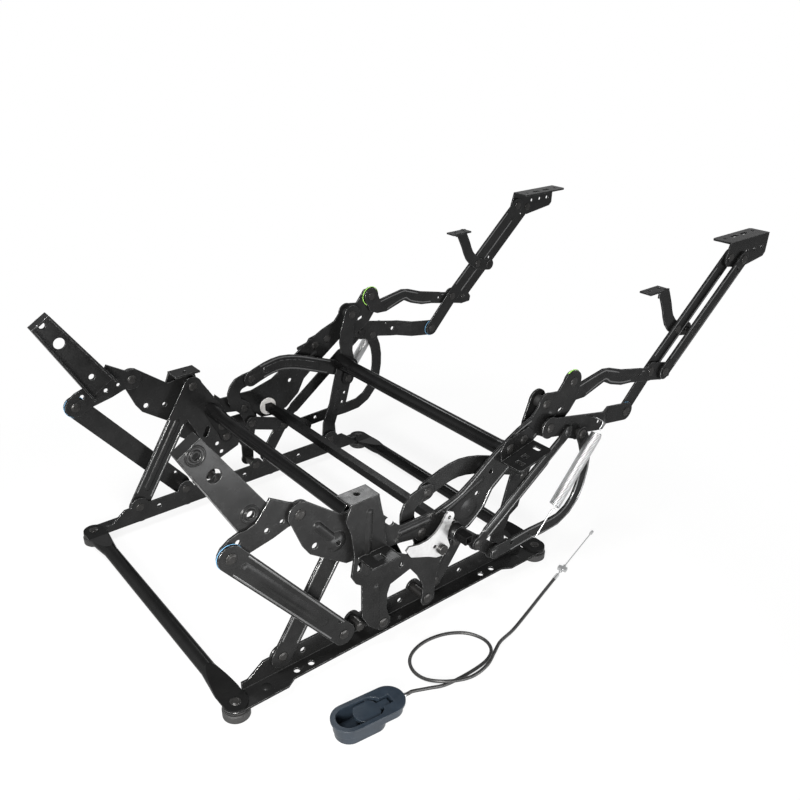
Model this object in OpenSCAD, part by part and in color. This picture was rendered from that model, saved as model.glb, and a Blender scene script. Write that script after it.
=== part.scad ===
// Lay-flat seat linkage: two mirrored stamped-steel side linkages on a floor base,
// joined by cross tubes and a square torque bar, with a fold-out footrest,
// a sprung latch and a cable-pull release handle.
// Frame: +X to the footrest, +Y to the left side, +Z up; zero at the rail bolt holes.

/* [Sheet] */
// Thickness of the stamped plates
plate_t = 3; // [2.5:0.1:3.4]
// Free gap between neighbouring plates
layer_gap = 1.5; // [1.2:0.1:1.8]
// Inner face of the rail web from the middle plane
web_y = 222; // [210:1:240]
// Radius of the pivot rivets
pin_r = 4; // [3.2:0.1:4.6]
// Radius of the rivet heads
head_r = 7.5; // [6:0.1:8]
// Height of the rivet heads
head_h = 2; // [1.2:0.1:2.2]
// Running clearance of the pivots on the radius
run_gap = 0.05; // [0.02:0.01:0.1]
// End clearance under the rivet heads
end_gap = 0.2; // [0.1:0.05:0.3]
// Height of the pressed ribs
rib_h = 2; // [0.8:0.1:2.2]
// Width of the pressed ribs
rib_w = 11; // [7:0.5:13]

/* [Base] */
// Width of the rail foot flange
flange_w = 26; // [22:1:28]
// Height of the rail web
web_h = 33; // [26:1:36]
// Spacing of the rail bolt holes along the rail
bolt_x = 364; // [352:1:372]
// Distance of the bolt holes from the web face
bolt_in = 16; // [13:0.5:18]
// Diameter of the rail bolt holes
bolt_d = 9; // [7:0.5:10]
// Diameter of the floor pads
foot_d = 37; // [30:1:42]
// Height of the floor pads
foot_h = 17; // [12:1:20]
// Diameter of the base cross tubes
base_tube_d = 22; // [18:1:25]
// Diameter of the rear leg cross tube
rear_tube_d = 22; // [18:1:25]
// Diameter of the front leg cross tube
front_tube_d = 25; // [20:1:27]
// Wall of the cross tubes
tube_wall = 1.5; // [1:0.1:2.5]

/* [Links] */
// Width of the rear leg strip
rear_leg_w = 34; // [28:1:38]
// Width of the back control link
control_w = 34; // [28:1:38]
// Width of the curved drive link
drive_w = 28; // [24:1:32]
// Width of the hook crank
crank_w = 24; // [20:1:26]
// Width of the short base links
base_link_w = 24; // [20:1:26]
// Width of the footrest lift link
lift_w = 18; // [15:1:20]
// Width of the spring strap
strap_w = 22; // [18:1:24]
// Width of the upper and lower footrest links
foot_link_w = 30; // [26:1:32]
// Width of the inner footrest arm
inner_arm_w = 28; // [24:1:29]
// Width of the outer footrest arm
outer_arm_w = 26; // [22:1:28]
// Length of the footrest arms between their end pivots
arm_len = 234; // [224:1:244]
// Rise of the footrest arms, degrees
arm_rise = 42.5; // [40:0.5:45]

/* [Mounts] */
// Rise of the front mount towards the footrest, degrees
mount_rise = 12; // [8:0.5:15]
// Length of the front mount
mount_len = 66; // [60:1:72]
// Reach of the front mount flange
mount_reach = 40; // [34:1:44]
// Diameter of the front mount screw slots
mount_slot_d = 7; // [5:0.5:8]
// Length of the back arm channel
back_len = 150; // [146:1:156]
// Spacing of the back arm bolt holes
back_pitch = 112; // [104:1:114]
// Diameter of the back arm bolt holes
back_hole_d = 10; // [8:0.5:11]
// Length of the footrest bracket
rest_len = 116; // [110:1:124]
// Inward reach of the footrest bracket flange
rest_flange = 36; // [30:1:40]
// Diameter of the footrest bracket holes
rest_hole_d = 7; // [5:0.5:8]

/* [Shaft] */
// Side of the square torque bar
bar_s = 13; // [11:0.5:14]
// Wall of the torque bar
bar_wall = 2; // [1.5:0.1:2.5]
// Half length of the torque bar
bar_half = 288; // [284:1:300]
// Radius of the nylon shaft bushes
bush_r = 12; // [11:0.5:13]

/* [Spring] */
// Wire radius of the extension springs
wire_r = 1.1; // [0.9:0.05:1.2]
// Mean radius of the spring coil
coil_r = 8; // [7:0.5:9]
// Curls of each spring
curls = 42; // [30:1:42]
// Coil pitch
coil_pitch = 3; // [2.9:0.1:3.2]
// Distance of the spring axis outside the strap
spring_out = 12.5; // [11:0.5:15]

/* [Release] */
// Length of the handle rim
cup_len = 104; // [98:1:110]
// Width of the handle rim
cup_w = 46; // [42:1:50]
// Depth of the handle cup
cup_h = 27; // [22:1:30]
// Wall of the handle cup
cup_wall = 2; // [1.5:0.1:2.5]
// Radius of the cable sheath
sheath_r = 2.5; // [2:0.1:2.7]
// Radius of the bare cable wire
cable_r = 0.9; // [0.6:0.1:1]

/* [Hidden] */
$fn = 48;
eps = 0.01;
pitch = plate_t + layer_gap;
hole_r = pin_r + run_gap;
y_rail = web_y;
y_leg = web_y + pitch;
y_drive = y_leg + pitch;
y_crank = y_drive + pitch;
y_back = y_crank + pitch;
y_seat = y_back + pitch;
y_mount = y_seat + plate_t;
y_up = y_seat + 2 * pitch;
y_lift = y_up + pitch;
y_strap = y_lift + pitch;
spring_y = y_strap + plate_t + spring_out;
floor_z = -foot_h;

// pivots of the recline linkage, along the side plane
p_rear_foot = [-197, 29];
p_rear_top = [-74, 218];
p_front_foot = [200, 29];
p_front_top = [258, 271];
p_back = [-171, 253];
p_back_link = [-266, 231];
p_control = [-110, 33];
p_crank = [24, 145];
p_crank_top = [40, 199];
p_crank_low = [35, 113];
p_drive_end = [229, 170];
p_base_link = [62, 36];
p_tie = [101, 91];
// pivots of the footrest linkage
p_shaft = [76, 131];
p_lift = [124, 89];
p_strap = [158, 61];
p_lower = [262, 234];
p_upper = [314, 291];
p_lift_top = [301, 218];
p_strap_top = [328, 207];
link_vec = [205, -40];
arm_dir = [cos(arm_rise), sin(arm_rise)];
arm_vec = arm_len * arm_dir;
mid_at = 85;
pair_vec = [34, -8];
p_arm_up = p_upper + link_vec;
p_arm_low = p_lower + link_vec;
p_arm_top = p_arm_up + arm_vec;
p_outer_low = p_arm_up + pair_vec;
p_outer_top = p_arm_top + pair_vec;
p_mid = p_arm_up + mid_at * arm_dir;
p_mid_tail = p_mid + pair_vec;
// fixed studs, spring eyes and the latch
p_stop = [-80, 29];
p_up_rear = [-49, 28];
p_up_front = [32, 31];
p_latch = [50, 113];
p_latch_eye = [62, 161];
p_spring_low = [230, 63];
p_spring_high = [377, 209];
p_hook = [360, 223];
rear_tube_at = [-45, 165];
rear_tube_rivets = [[-29, 131], [-22, 108]];
front_tube_at = [229, 184];
front_tube_rivets = [[253, 171], [245, 147]];
mount_at = [199, 226];
mount_rivets = [-14, 14];
foot_x = [-276, 280];
foot_in = 17;
foot_y = web_y + foot_in;
cap_r = head_r - 1;
// room where a pin closes a loop of links
slot_room = 0.35;
strap_slot_at = p_strap + [3, -2.3];
strap_slot_len = 2 * pin_r + 9.8;
strap_slot_turn = -37;
lift_slot_at = p_lift_top + [-2.2, 0.85];
lift_slot_len = 2 * pin_r + 5.6;
lift_slot_turn = 162.5;
lift_room = 0.8;
tie_off = [-0.3, -1];
tie_room = 1.35;
control_off = [-0.55, 0];
control_room = 0.8;
foot_off = [-0.12, -0.08];
foot_room = 0.3;
drive_off = [-0.06, -0.25];
drive_room = 0.45;

// helpers: everything is drawn on the left side and mirrored for the right
module both() {
  children();
  mirror([0, 1, 0]) children();
}
module right_side() {
  mirror([0, 1, 0]) children();
}
// side-plane outline made into a plate from y0 outwards
module plate(y0, t) {
  translate([0, y0 + t, 0]) rotate([90, 0, 0]) linear_extrude(t) children();
}
module rod(p, y0, y1, r) {
  translate([p[0], y0, p[1]]) rotate([-90, 0, 0]) cylinder(r = r, h = y1 - y0);
}
module drill(p, y0, y1, r) {
  rod(p, y0 - 1, y1 + 1, r);
}
module eye(p, r) {
  translate(p) circle(r);
}
module bar(a, b, w) {
  d = b - a;
  translate(a) rotate(atan2(d[1], d[0])) {
    translate([0, -w / 2]) square([norm(d), w]);
    circle(w / 2);
    translate([norm(d), 0]) circle(w / 2);
  }
}
module chain(pts, w) {
  for (i = [0 : len(pts) - 2]) bar(pts[i], pts[i + 1], w);
}
function blend(a, b, c, d, t) = 0.5 * ((2 * b) + (c - a) * t + (2 * a - 5 * b + 4 * c - d) * t * t
  + (3 * b - a - 3 * c + d) * t * t * t);
// rounded path through points
function curve(pts, steps) = let (n = len(pts) - 1) concat([for (i = [0 : n - 1], t = steps)
  blend(pts[max(i - 1, 0)], pts[i], pts[i + 1], pts[min(i + 2, n)], t)], [pts[n]]);
halves = [0, 0.5];
module slot(p, l, d, turn) {
  translate(p) rotate(turn) {
    translate([-(l - d) / 2, -d / 2]) square([l - d, d]);
    translate([-(l - d) / 2, 0]) circle(d / 2);
    translate([(l - d) / 2, 0]) circle(d / 2);
  }
}
module slot_cut(p, y0, l, d, turn) {
  plate(y0 - 1, plate_t + 2) slot(p, l, d, turn);
}
// rounded section of a pressed rib, standing on the line y = 0
module rib_section(w, h) {
  r = (w * w / 4 + h * h) / (2 * h);
  intersection() {
    translate([0, h - r]) circle(r);
    translate([-w, -0.4]) square([2 * w, h + 1]);
  }
}
module rib_half(w, h) {
  intersection() {
    rib_section(w, h);
    translate([0, -1]) square([2 * w, h + 2]);
  }
}
// pressed rib on the outer face (side 1) or inner face (side -1) at height y
module rib(a, b, y, side, w, h) {
  d = b - a;
  translate([a[0], y, a[1]]) rotate([0, -atan2(d[1], d[0]), 0]) {
    rotate([0, 90, 0]) rotate([0, 0, side > 0 ? 0 : 180])
      linear_extrude(norm(d)) rib_section(w, h);
    dome([0, 0], 0, side, w, h);
    dome([norm(d), 0], 0, side, w, h);
  }
}
module dome(p, y, side, w, h) {
  translate([p[0], y, p[1]]) rotate([side > 0 ? -90 : 90, 0, 0])
    rotate_extrude() rib_half(w, h);
}
// headed rivet between two outer faces
module rivet(p, y0, y1) {
  l = y1 - y0;
  translate([p[0], y0, p[1]]) rotate([-90, 0, 0]) rotate_extrude()
    polygon([[0, -head_h], [cap_r - 2, -head_h], [head_r, -head_h / 3], [head_r, 0],
      [pin_r, 0], [pin_r, l], [head_r, l], [head_r, l + head_h / 3],
      [cap_r - 2, l + head_h], [0, l + head_h]]);
}
module head_cap() {
  rotate_extrude() polygon([[0, 0], [head_r, 0], [head_r, head_h / 3], [cap_r - 2, head_h], [0, head_h]]);
}
// rivet with a plain shoulder between two faces
module shoulder_rivet(p, y0, y1, s0, s1, r) {
  rivet(p, y0, y1);
  rod(p, s0, s1, r);
}
module ring(p, y0, y1, r, bore) {
  difference() {
    rod(p, y0, y1, r);
    drill(p, y0, y1, bore);
  }
}

// floor base
module rail_profile() {
  bend = plate_t + 1;
  translate([y_rail, bend]) square([plate_t, web_h - bend]);
  translate([y_rail + bend, 0]) square([flange_w - bend, plate_t]);
  intersection() {
    difference() {
      translate([y_rail + bend, bend]) circle(bend);
      translate([y_rail + bend, bend]) circle(bend - plate_t);
    }
    translate([y_rail, 0]) square([bend, bend]);
  }
}
module rail_tab(x, reach) {
  linear_extrude(plate_t) {
    translate([x, foot_y]) circle(foot_in);
    translate([min(x, x + reach), foot_y - 8]) square([abs(reach), foot_in + 8]);
    polygon([[x + reach, foot_y], [x + reach, foot_y + foot_in],
      [x + reach * 1.2, web_y + flange_w], [x + reach * 1.2, foot_y]]);
  }
}
module rail() {
  span = foot_x[1] - foot_x[0];
  difference() {
    union() {
      difference() {
        translate([foot_x[0] + 18, 0, 0]) rotate([90, 0, 90])
          linear_extrude(span - 36) rail_profile();
        plate(y_rail - 1, plate_t + 2)
          polygon([[-300, 15], [-248, 15], [-224, web_h], [-224, 60], [-300, 60]]);
        plate(y_rail - 1, plate_t + 2)
          polygon([[300, 15], [252, 15], [228, web_h], [228, 60], [300, 60]]);
      }
      plate(y_rail, plate_t) {
        bar([p_rear_foot[0], 18], p_rear_foot, 34);
        bar([p_control[0], 16], p_control, 30);
        bar([p_base_link[0], 16], p_base_link, 30);
        bar([p_front_foot[0], 18], p_front_foot, 34);
        bar([p_stop[0], 16], p_stop, 26);
        bar([p_up_rear[0], 16], p_up_rear, 26);
        bar([p_up_front[0], 16], p_up_front, 26);
      }
      rail_tab(foot_x[0], 70);
      rail_tab(foot_x[1], -70);
      translate([foot_x[0] + 46, foot_y, plate_t]) rail_boss();
      translate([foot_x[1] - 46, foot_y, plate_t]) rail_boss();
    }
    for (p = [p_rear_foot, p_control, p_base_link, p_front_foot, p_stop, p_up_rear, p_up_front])
      drill(p, y_rail, y_rail + plate_t, hole_r);
    for (x = [-163, 6, 124]) drill([x, 19], y_rail, y_rail + plate_t, 4);
    for (x = [-bolt_x / 2, bolt_x / 2, 23 - bolt_x / 2, bolt_x / 2 - 23])
      translate([x, web_y + bolt_in, -1]) cylinder(r = bolt_d / 2, h = plate_t + 2);
    for (x = foot_x) translate([x, foot_y, -1]) cylinder(r = hole_r, h = plate_t + 2);
  }
}
module rail_boss() {
  rotate_extrude() rib_half(14, 2);
}
module rail_left() {
  color("dimgray") rail();
}
module rail_right() {
  color("dimgray") right_side() rail();
}
// cross tube with pressed flat tongues lying on the rail ends
module base_tube(x) {
  mid = plate_t * 1.5;
  half = web_y - 56;
  taper = 50;
  end = half + taper;
  r = base_tube_d / 2;
  translate([x, 0, mid]) difference() {
    union() {
      translate([0, -half, 0]) rotate([-90, 0, 0]) cylinder(r = r, h = 2 * half);
      both() {
        intersection() {
          translate([0, half - eps, 0]) rotate([-90, 0, 0]) cylinder(r1 = r, r2 = r + 6, h = taper + 1);
          translate([-2 * r, 0, 0]) rotate([90, 0, 90]) linear_extrude(4 * r)
            polygon([[half - 2, r + 0.4], [end, plate_t / 2], [end + 1, plate_t / 2],
              [end + 1, -plate_t / 2], [end, -plate_t / 2], [half - 2, -r - 0.4]]);
        }
        translate([-r - 5.6, end - 1, -plate_t / 2]) cube([2 * r + 11.2, foot_y - end + 1, plate_t]);
        translate([0, foot_y, -plate_t / 2]) cylinder(r = r + 5.6, h = plate_t);
      }
    }
    translate([0, -half + 4, 0]) rotate([-90, 0, 0])
      cylinder(r = r - tube_wall, h = 2 * half - 8);
    translate([0, 0, -r - 1]) cylinder(r = 3, h = r);
    both() translate([0, foot_y, -plate_t]) cylinder(r = hole_r, h = 2 * plate_t);
  }
}
module rear_base_tube() {
  color("dimgray") base_tube(foot_x[0]);
}
module front_base_tube() {
  color("dimgray") base_tube(foot_x[1]);
}
module foot_pads() {
  r = foot_d / 2;
  color("black") both() for (x = foot_x) translate([x, foot_y, 0]) difference() {
    rotate_extrude() polygon([[0, floor_z], [r - 2, floor_z], [r, floor_z + 2], [r, -5],
      [r - 1.5, -4], [r - 4, -3.5], [r - 4, -2], [r - 1.5, -1.5], [r - 1.5, 0], [0, 0]]);
    translate([0, 0, -10]) cylinder(r = hole_r, h = 12);
  }
}
module foot_rivet(x) {
  top = 2 * plate_t;
  translate([x, foot_y, 0]) {
    translate([0, 0, -9.5]) cylinder(r = pin_r, h = 9.5 + top);
    translate([0, 0, top]) head_cap();
  }
}
module base_studs() {
  leg_end = y_leg + plate_t + end_gap;
  web_end = y_rail + plate_t;
  color("silver") both() {
    for (x = foot_x) foot_rivet(x);
    rivet(p_rear_foot, y_rail, leg_end);
    rivet(p_front_foot, y_rail, leg_end);
    shoulder_rivet(p_control, y_rail, y_seat + plate_t + end_gap, web_end,
      y_seat - end_gap, head_r);
    shoulder_rivet(p_base_link, y_rail, y_crank + plate_t + end_gap, web_end,
      y_crank - end_gap, head_r);
    shoulder_rivet(p_up_rear, y_rail, y_up + plate_t, web_end, y_up, head_r);
    shoulder_rivet(p_up_front, y_rail, y_up + plate_t, web_end, y_up, head_r);
    shoulder_rivet(p_stop, y_rail, y_seat, web_end, y_seat, head_r);
  }
}
// fixed upright that carries the latch and the cable tab
module upright_shape() {
  polygon([[-111, 222], [-103, 240], [-58, 240], [-54, 220], [-49, 200], [-50, 190],
    [-45, 160], [-25, 136], [-9, 126], [34, 126], [56, 122], [58, 108], [46, 62], [44, 24],
    [22, 24], [22, 60], [12, 80], [-3, 100], [-38, 90], [-43, 76], [-44, 51], [-37, 22],
    [-61, 22], [-74, 34], [-86, 56], [-86, 110], [-96, 118], [-103, 131], [-98, 163],
    [-103, 200]]);
  eye(p_up_rear, 12);
  eye(p_up_front, 12);
}
module upright() {
  top = 240;
  tab_z = 156;
  difference() {
    union() {
      plate(y_up, plate_t) upright_shape();
      translate([-103, y_up - 27, top]) cube([45, 27 + plate_t, plate_t]);
      translate([-92, y_up + plate_t - eps, tab_z]) cube([46, 30, plate_t]);
      rib([-78, 128], [-74, 222], y_up + plate_t, 1, rib_w, rib_h);
      rib([-62, 44], [-62, 96], y_up + plate_t, 1, rib_w, rib_h);
    }
    drill(p_up_rear, y_up, y_up + plate_t, hole_r);
    drill(p_up_front, y_up, y_up + plate_t, hole_r);
    drill(p_latch, y_up, y_up + plate_t, hole_r);
    drill([-20, 114], y_up, y_up + plate_t, 4);
    slot_cut([-90, 143], y_up, 16, 7, 80);
    translate([-76, y_up + plate_t + 9, tab_z - 1]) cube([13, 11, plate_t + 2]);
    translate([-81, y_up - 15, top - 1]) cylinder(r = 4, h = plate_t + 2);
  }
}
module upright_left() {
  color("dimgray") upright();
}
module upright_right() {
  color("dimgray") right_side() upright();
}

// rear legs
module rear_leg() {
  face = y_leg;
  difference() {
    union() {
      plate(face, plate_t) {
        bar(p_rear_foot, p_rear_top, rear_leg_w);
        polygon([[-60, 226], [-22, 163], [8, 100], [0, 82], [-38, 68], [-64, 106], [-98, 176]]);
      }
      rib([-178, 58], [-110, 163], face, -1, rib_w, rib_h);
      rib([-58, 186], [-36, 150], face + plate_t, 1, 8, 1);
    }
    drill(p_rear_foot, face, face + plate_t, hole_r);
    drill(p_rear_top, face, face + plate_t, hole_r);
    for (p = rear_tube_rivets) drill(p, face, face + plate_t, hole_r);
    slot_cut([-58, 128], face, 22, 9, 65);
    drill([-40, 98], face, face + plate_t, 4);
    drill([-33, 80], face, face + plate_t, 4);
  }
}
module rear_leg_left() {
  color("dimgray") rear_leg();
}
module rear_leg_right() {
  color("dimgray") right_side() rear_leg();
}
// tube end pressed wide and thin where it meets the leg
flare_len = 36;
module tube_flare(at, d, v, end) {
  translate([at[0], end - flare_len, at[1]]) rotate([0, -atan2(v[1], v[0]), 0]) intersection() {
    translate([0, -eps, 0]) rotate([-90, 0, 0])
      cylinder(r1 = d / 2, r2 = d / 2 + 5, h = flare_len + 1);
    translate([-d, 0, 0]) rotate([90, 0, 90]) linear_extrude(2 * d)
      polygon([[-2, d / 2 + 0.4], [flare_len + 1, d / 4], [flare_len + 1, -d / 4],
        [-2, -d / 2 - 0.4]]);
  }
}
// cross tube with flat end plates riveted inside the legs
module leg_tube(at, d, rivets, w) {
  end = y_leg - plate_t;
  difference() {
    union() {
      rod(at, -y_leg + plate_t, end, d / 2);
      both() plate(end, plate_t) {
        bar(at, rivets[0], w);
        bar(rivets[0], rivets[1], w - 4);
      }
      both() tube_flare(at, d, rivets[1] - at, end);
    }
    rod(at, -end + flare_len + 4, end - flare_len - 4, d / 2 - tube_wall);
    translate([at[0], 0, at[1] - d]) cylinder(r = 3, h = d);
    both() for (p = rivets) drill(p, end, y_leg, hole_r);
  }
}
module rear_leg_tube() {
  color("dimgray") leg_tube(rear_tube_at, rear_tube_d, rear_tube_rivets, 26);
}
module rear_leg_rivets() {
  color("silver") both() for (p = rear_tube_rivets)
    rivet(p, y_leg - plate_t, y_leg + plate_t);
}

// front legs
module front_leg() {
  difference() {
    union() {
      plate(y_leg, plate_t) {
        eye(p_front_top, 17);
        eye(p_front_foot, 16);
        polygon([[241, 272], [231, 243], [229, 222], [233, 195], [221, 172], [212, 140],
          [203, 104], [187, 66], [184, 29], [216, 29], [214, 58], [223, 82], [240, 92],
          [253, 138], [265, 167], [258, 201], [262, 250], [275, 270]]);
      }
      rib([250, 246], [244, 206], y_leg + plate_t, 1, rib_w, rib_h);
      rib([225, 126], [216, 92], y_leg, -1, rib_w, rib_h);
    }
    drill(p_front_top, y_leg, y_leg + plate_t, hole_r);
    drill(p_front_foot + foot_off, y_leg, y_leg + plate_t, pin_r + foot_room);
    drill(p_drive_end, y_leg, y_leg + plate_t, hole_r);
    for (p = front_tube_rivets) drill(p, y_leg, y_leg + plate_t, hole_r);
    drill([238, 118], y_leg, y_leg + plate_t, 3);
    drill([232, 100], y_leg, y_leg + plate_t, 3);
  }
}
module front_leg_left() {
  color("dimgray") front_leg();
}
module front_leg_right() {
  color("dimgray") right_side() front_leg();
}
module front_leg_tube() {
  color("dimgray") leg_tube(front_tube_at, front_tube_d, front_tube_rivets, 30);
}
module front_leg_rivets() {
  far = y_drive + plate_t + end_gap;
  color("silver") both() {
    for (p = front_tube_rivets) rivet(p, y_leg - plate_t, y_leg + plate_t);
    rod(p_drive_end, y_leg, far, pin_r);
    translate([p_drive_end[0], far, p_drive_end[1]]) rotate([-90, 0, 0]) head_cap();
  }
}

// seat side plates
module seat_shape() {
  polygon([[-188, 255], [-178, 269], [-162, 268], [-110, 228], [-66, 234], [-58, 216], [-16, 172],
    [46, 170], [89, 181], [119, 199], [142, 216], [168, 232], [202, 249], [230, 259],
    [256, 288], [282, 284], [300, 306], [322, 306], [331, 286], [324, 258], [312, 243],
    [300, 234], [288, 228], [262, 217], [244, 224], [178, 178], [158, 163], [144, 138],
    [116, 116], [88, 109], [62, 112], [50, 124], [38, 134], [-16, 144], [-105, 151],
    [-139, 175], [-160, 190], [-169, 204], [-186, 248]]);
  eye(p_back, 17);
  eye(p_rear_top, 16);
  eye(p_crank, 13);
  eye(p_front_top, 17);
  eye(p_lower, 17);
  eye(p_upper, 17);
}
module seat_plate() {
  out = y_seat + plate_t;
  difference() {
    union() {
      plate(y_seat, plate_t) seat_shape();
      rib([66, 162], [134, 189], out, 1, rib_w, rib_h);
      rib([160, 190], [184, 206], y_seat, -1, rib_w, rib_h);
      rib([-14, 160], [36, 160], out, 1, rib_w, rib_h);
      rib([-148, 227], [-122, 195], out, 1, 13, 3);
      dome([-120, 192], out, 1, 30, 5);
      dome([275, 254], out, 1, 22, 3);
      dome([112, 148], out, 1, 34, 2);
    }
    for (p = [p_back, p_rear_top, p_crank, p_front_top, p_lower, p_upper])
      drill(p, y_seat, out, hole_r);
    drill(p_shaft, y_seat, out, bush_r + run_gap);
    drill([-120, 192], y_seat, out + 5, 4);
    drill([-152, 199], y_seat, out, 4.5);
    drill([127, 168], y_seat, out, 4);
    drill([152, 196], y_seat, out, 4);
    slot_cut([290, 252], y_seat, 12, 6, 20);
    slot_cut([-34, 186], y_seat, 18, 8, -45);
    for (s = mount_rivets) drill(mount_point(s), y_seat, out, hole_r);
  }
}
function mount_point(s) = mount_at + s * [cos(mount_rise), sin(mount_rise)];
module seat_plate_left() {
  color("dimgray") seat_plate();
}
module seat_plate_right() {
  color("dimgray") right_side() seat_plate();
}
// angle bracket that the seat box screws to
module front_mount() {
  low = 15;
  translate([mount_at[0], y_mount, mount_at[1]]) rotate([0, -mount_rise, 0])
    translate([-mount_len / 2, 0, -low]) difference() {
      union() {
        plate(0, plate_t) polygon([[0, 0], [mount_len, 0], [mount_len, 22], [mount_len - 8, 31],
          [12, 31], [0, 20]]);
        cube([mount_len, mount_reach - 6, plate_t]);
        translate([6, 0, 0]) cube([mount_len - 12, mount_reach, plate_t]);
        translate([6, mount_reach - 6, 0]) cylinder(r = 6, h = plate_t);
        translate([mount_len - 6, mount_reach - 6, 0]) cylinder(r = 6, h = plate_t);
      }
      for (s = mount_rivets) drill([mount_len / 2 + s, low], 0, plate_t, hole_r);
      translate([0, 0, -1]) linear_extrude(plate_t + 2) {
        slot([mount_len - 12, mount_reach / 2], 14, mount_slot_d, 90);
        slot([14, mount_reach / 2 + 6], 16, mount_slot_d, 90);
        translate([mount_len / 2 - 8, mount_reach / 2 - 4]) square([9, 9]);
      }
    }
}
module front_mounts() {
  color("dimgray") both() front_mount();
}
module seat_rivets() {
  out = y_seat + plate_t;
  color("silver") both() {
    rivet(p_rear_top, y_leg - end_gap, out);
    rivet(p_front_top, y_leg - end_gap, out);
    rivet(p_back, y_back - end_gap, out);
    rivet(p_crank, y_crank - end_gap, out);
    rivet(p_upper, y_back - end_gap, out);
    rivet(p_lower, y_seat, y_up + plate_t + end_gap);
    for (s = mount_rivets) rivet(mount_point(s), y_seat, y_mount + plate_t);
  }
}
// spacer sleeves between the seat plates and the pieces hung on them
module seat_spacers() {
  gap = end_gap;
  color("black") both() {
    ring(p_rear_top, y_leg + plate_t + gap, y_seat, 9, hole_r);
    ring(p_front_top, y_leg + plate_t + gap, y_seat, 9, hole_r);
    ring(p_crank, y_crank + plate_t + gap, y_seat, 8, hole_r);
    ring(p_lower, y_mount, y_up - gap, 9, hole_r);
    ring(p_back, y_back + plate_t + gap, y_seat, 13, hole_r);
  }
}
module seat_washers() {
  color("green") both() ring(p_upper, y_back + plate_t + end_gap, y_seat, 12, hole_r);
}

// back rest pieces
back_base = [-234, 275.5];
back_rise = 121;
back_dir = [cos(back_rise), sin(back_rise)];
back_low = 26;
function back_point(s) = back_base + s * back_dir;
module back_plate() {
  difference() {
    plate(y_back, plate_t) {
      polygon([[-182, 272], [-160, 262], [-160, 240], [-186, 239], [-207, 232], [-244, 224],
        [-262, 214], [-281, 238], [-276, 246], [-264, 254], [-252, 258], [-240, 258], [-229, 262],
        [-220, 273], [-213, 281], [-208, 288]]);
      eye(p_back, 17);
      eye(p_back_link, 16);
    }
    drill(p_back, y_back, y_back + plate_t, hole_r);
    drill(p_back_link, y_back, y_back + plate_t, hole_r);
    slot_cut([-254, 245], y_back, 9, 7, 60);
    drill([-215, 246], y_back, y_back + plate_t, 3.5);
    drill([-194, 250], y_back, y_back + plate_t, 3);
  }
}
module back_plates() {
  color("dimgray") both() back_plate();
}
// tapered channel that a back frame bolts to
module back_arm() {
  inner = y_back - plate_t;
  depth = 15;
  low = 24;
  high = 16.5;
  top = back_len - back_low;
  difference() {
    plate(inner - depth, depth + plate_t) translate(back_base) rotate(back_rise)
      polygon([[-back_low, -low], [top, -high], [top, high], [-back_low, low]]);
    plate(inner - depth - 1, depth + 1) translate(back_base) rotate(back_rise)
      polygon([[-back_low - 4, plate_t - low], [top - plate_t, plate_t - high],
        [top - plate_t, high - plate_t], [-back_low - 4, low - plate_t]]);
    for (s = [0, back_pitch]) drill(back_point(s), inner, y_back, back_hole_d / 2);
    drill(back_point(back_pitch * 0.67), inner, y_back, 9);
  }
  for (s = [0, back_pitch]) dished_boss(back_point(s), y_back, back_hole_d / 2);
}
// pressed boss with a raised collar round its bore and a raised rim
boss_h = 2.2;
boss_r = 12.4;
module dished_boss(p, y, bore) {
  translate([p[0], y, p[1]]) rotate([-90, 0, 0]) rotate_extrude()
    polygon([[bore, -eps], [bore, boss_h], [bore + 1.3, boss_h], [bore + 2.6, 0.4], [boss_r - 2.8, 0.4],
      [boss_r - 1.8, 1.2], [boss_r - 1, 1.2], [boss_r, -eps]]);
}
module back_arm_left() {
  color("dimgray") back_arm();
}
module back_arm_right() {
  color("dimgray") right_side() back_arm();
}
module back_rivets() {
  color("silver") both() rivet(p_back_link, y_back, y_seat + plate_t + end_gap);
}
module back_washers() {
  color("blue") both() ring(p_back_link, y_back + plate_t, y_seat - end_gap, 11, hole_r);
}

// recline control links
module two_eye_link(a, b, y0, w, ribbed) {
  d = (b - a) / norm(b - a);
  difference() {
    union() {
      plate(y0, plate_t) bar(a, b, w);
      if (ribbed) rib(a + 24 * d, b - 24 * d, y0 + plate_t, 1, rib_w, layer_gap * 0.6);
    }
    drill(a, y0, y0 + plate_t, hole_r);
    drill(b, y0, y0 + plate_t, hole_r);
  }
}
module control_link() {
  d = (p_control - p_back_link) / norm(p_control - p_back_link);
  difference() {
    union() {
      plate(y_seat, plate_t) bar(p_back_link, p_control, control_w);
      rib(p_back_link + 26 * d, p_control - 50 * d, y_seat + plate_t, 1, rib_w + 3, rib_h);
    }
    drill(p_back_link + control_off, y_seat, y_seat + plate_t, pin_r + control_room);
    drill(p_control, y_seat, y_seat + plate_t, hole_r);
    drill(p_control - 28 * d + [11, 4], y_seat, y_seat + plate_t, 3);
  }
}
module control_links() {
  color("dimgray") both() control_link();
}
module hook_crank() {
  difference() {
    plate(y_crank, plate_t)
      chain(curve([p_crank_top, [16, 194], [5, 178], [8, 158], p_crank, p_crank_low], halves), crank_w);
    for (p = [p_crank_top, p_crank, p_crank_low]) drill(p, y_crank, y_crank + plate_t, hole_r);
  }
}
module hook_cranks() {
  color("dimgray") both() hook_crank();
}
module crank_rivets() {
  color("silver") both() {
    rivet(p_crank_top, y_drive - end_gap, y_crank + plate_t);
    rivet(p_crank_low, y_drive - end_gap, y_crank + plate_t);
  }
}
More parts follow.
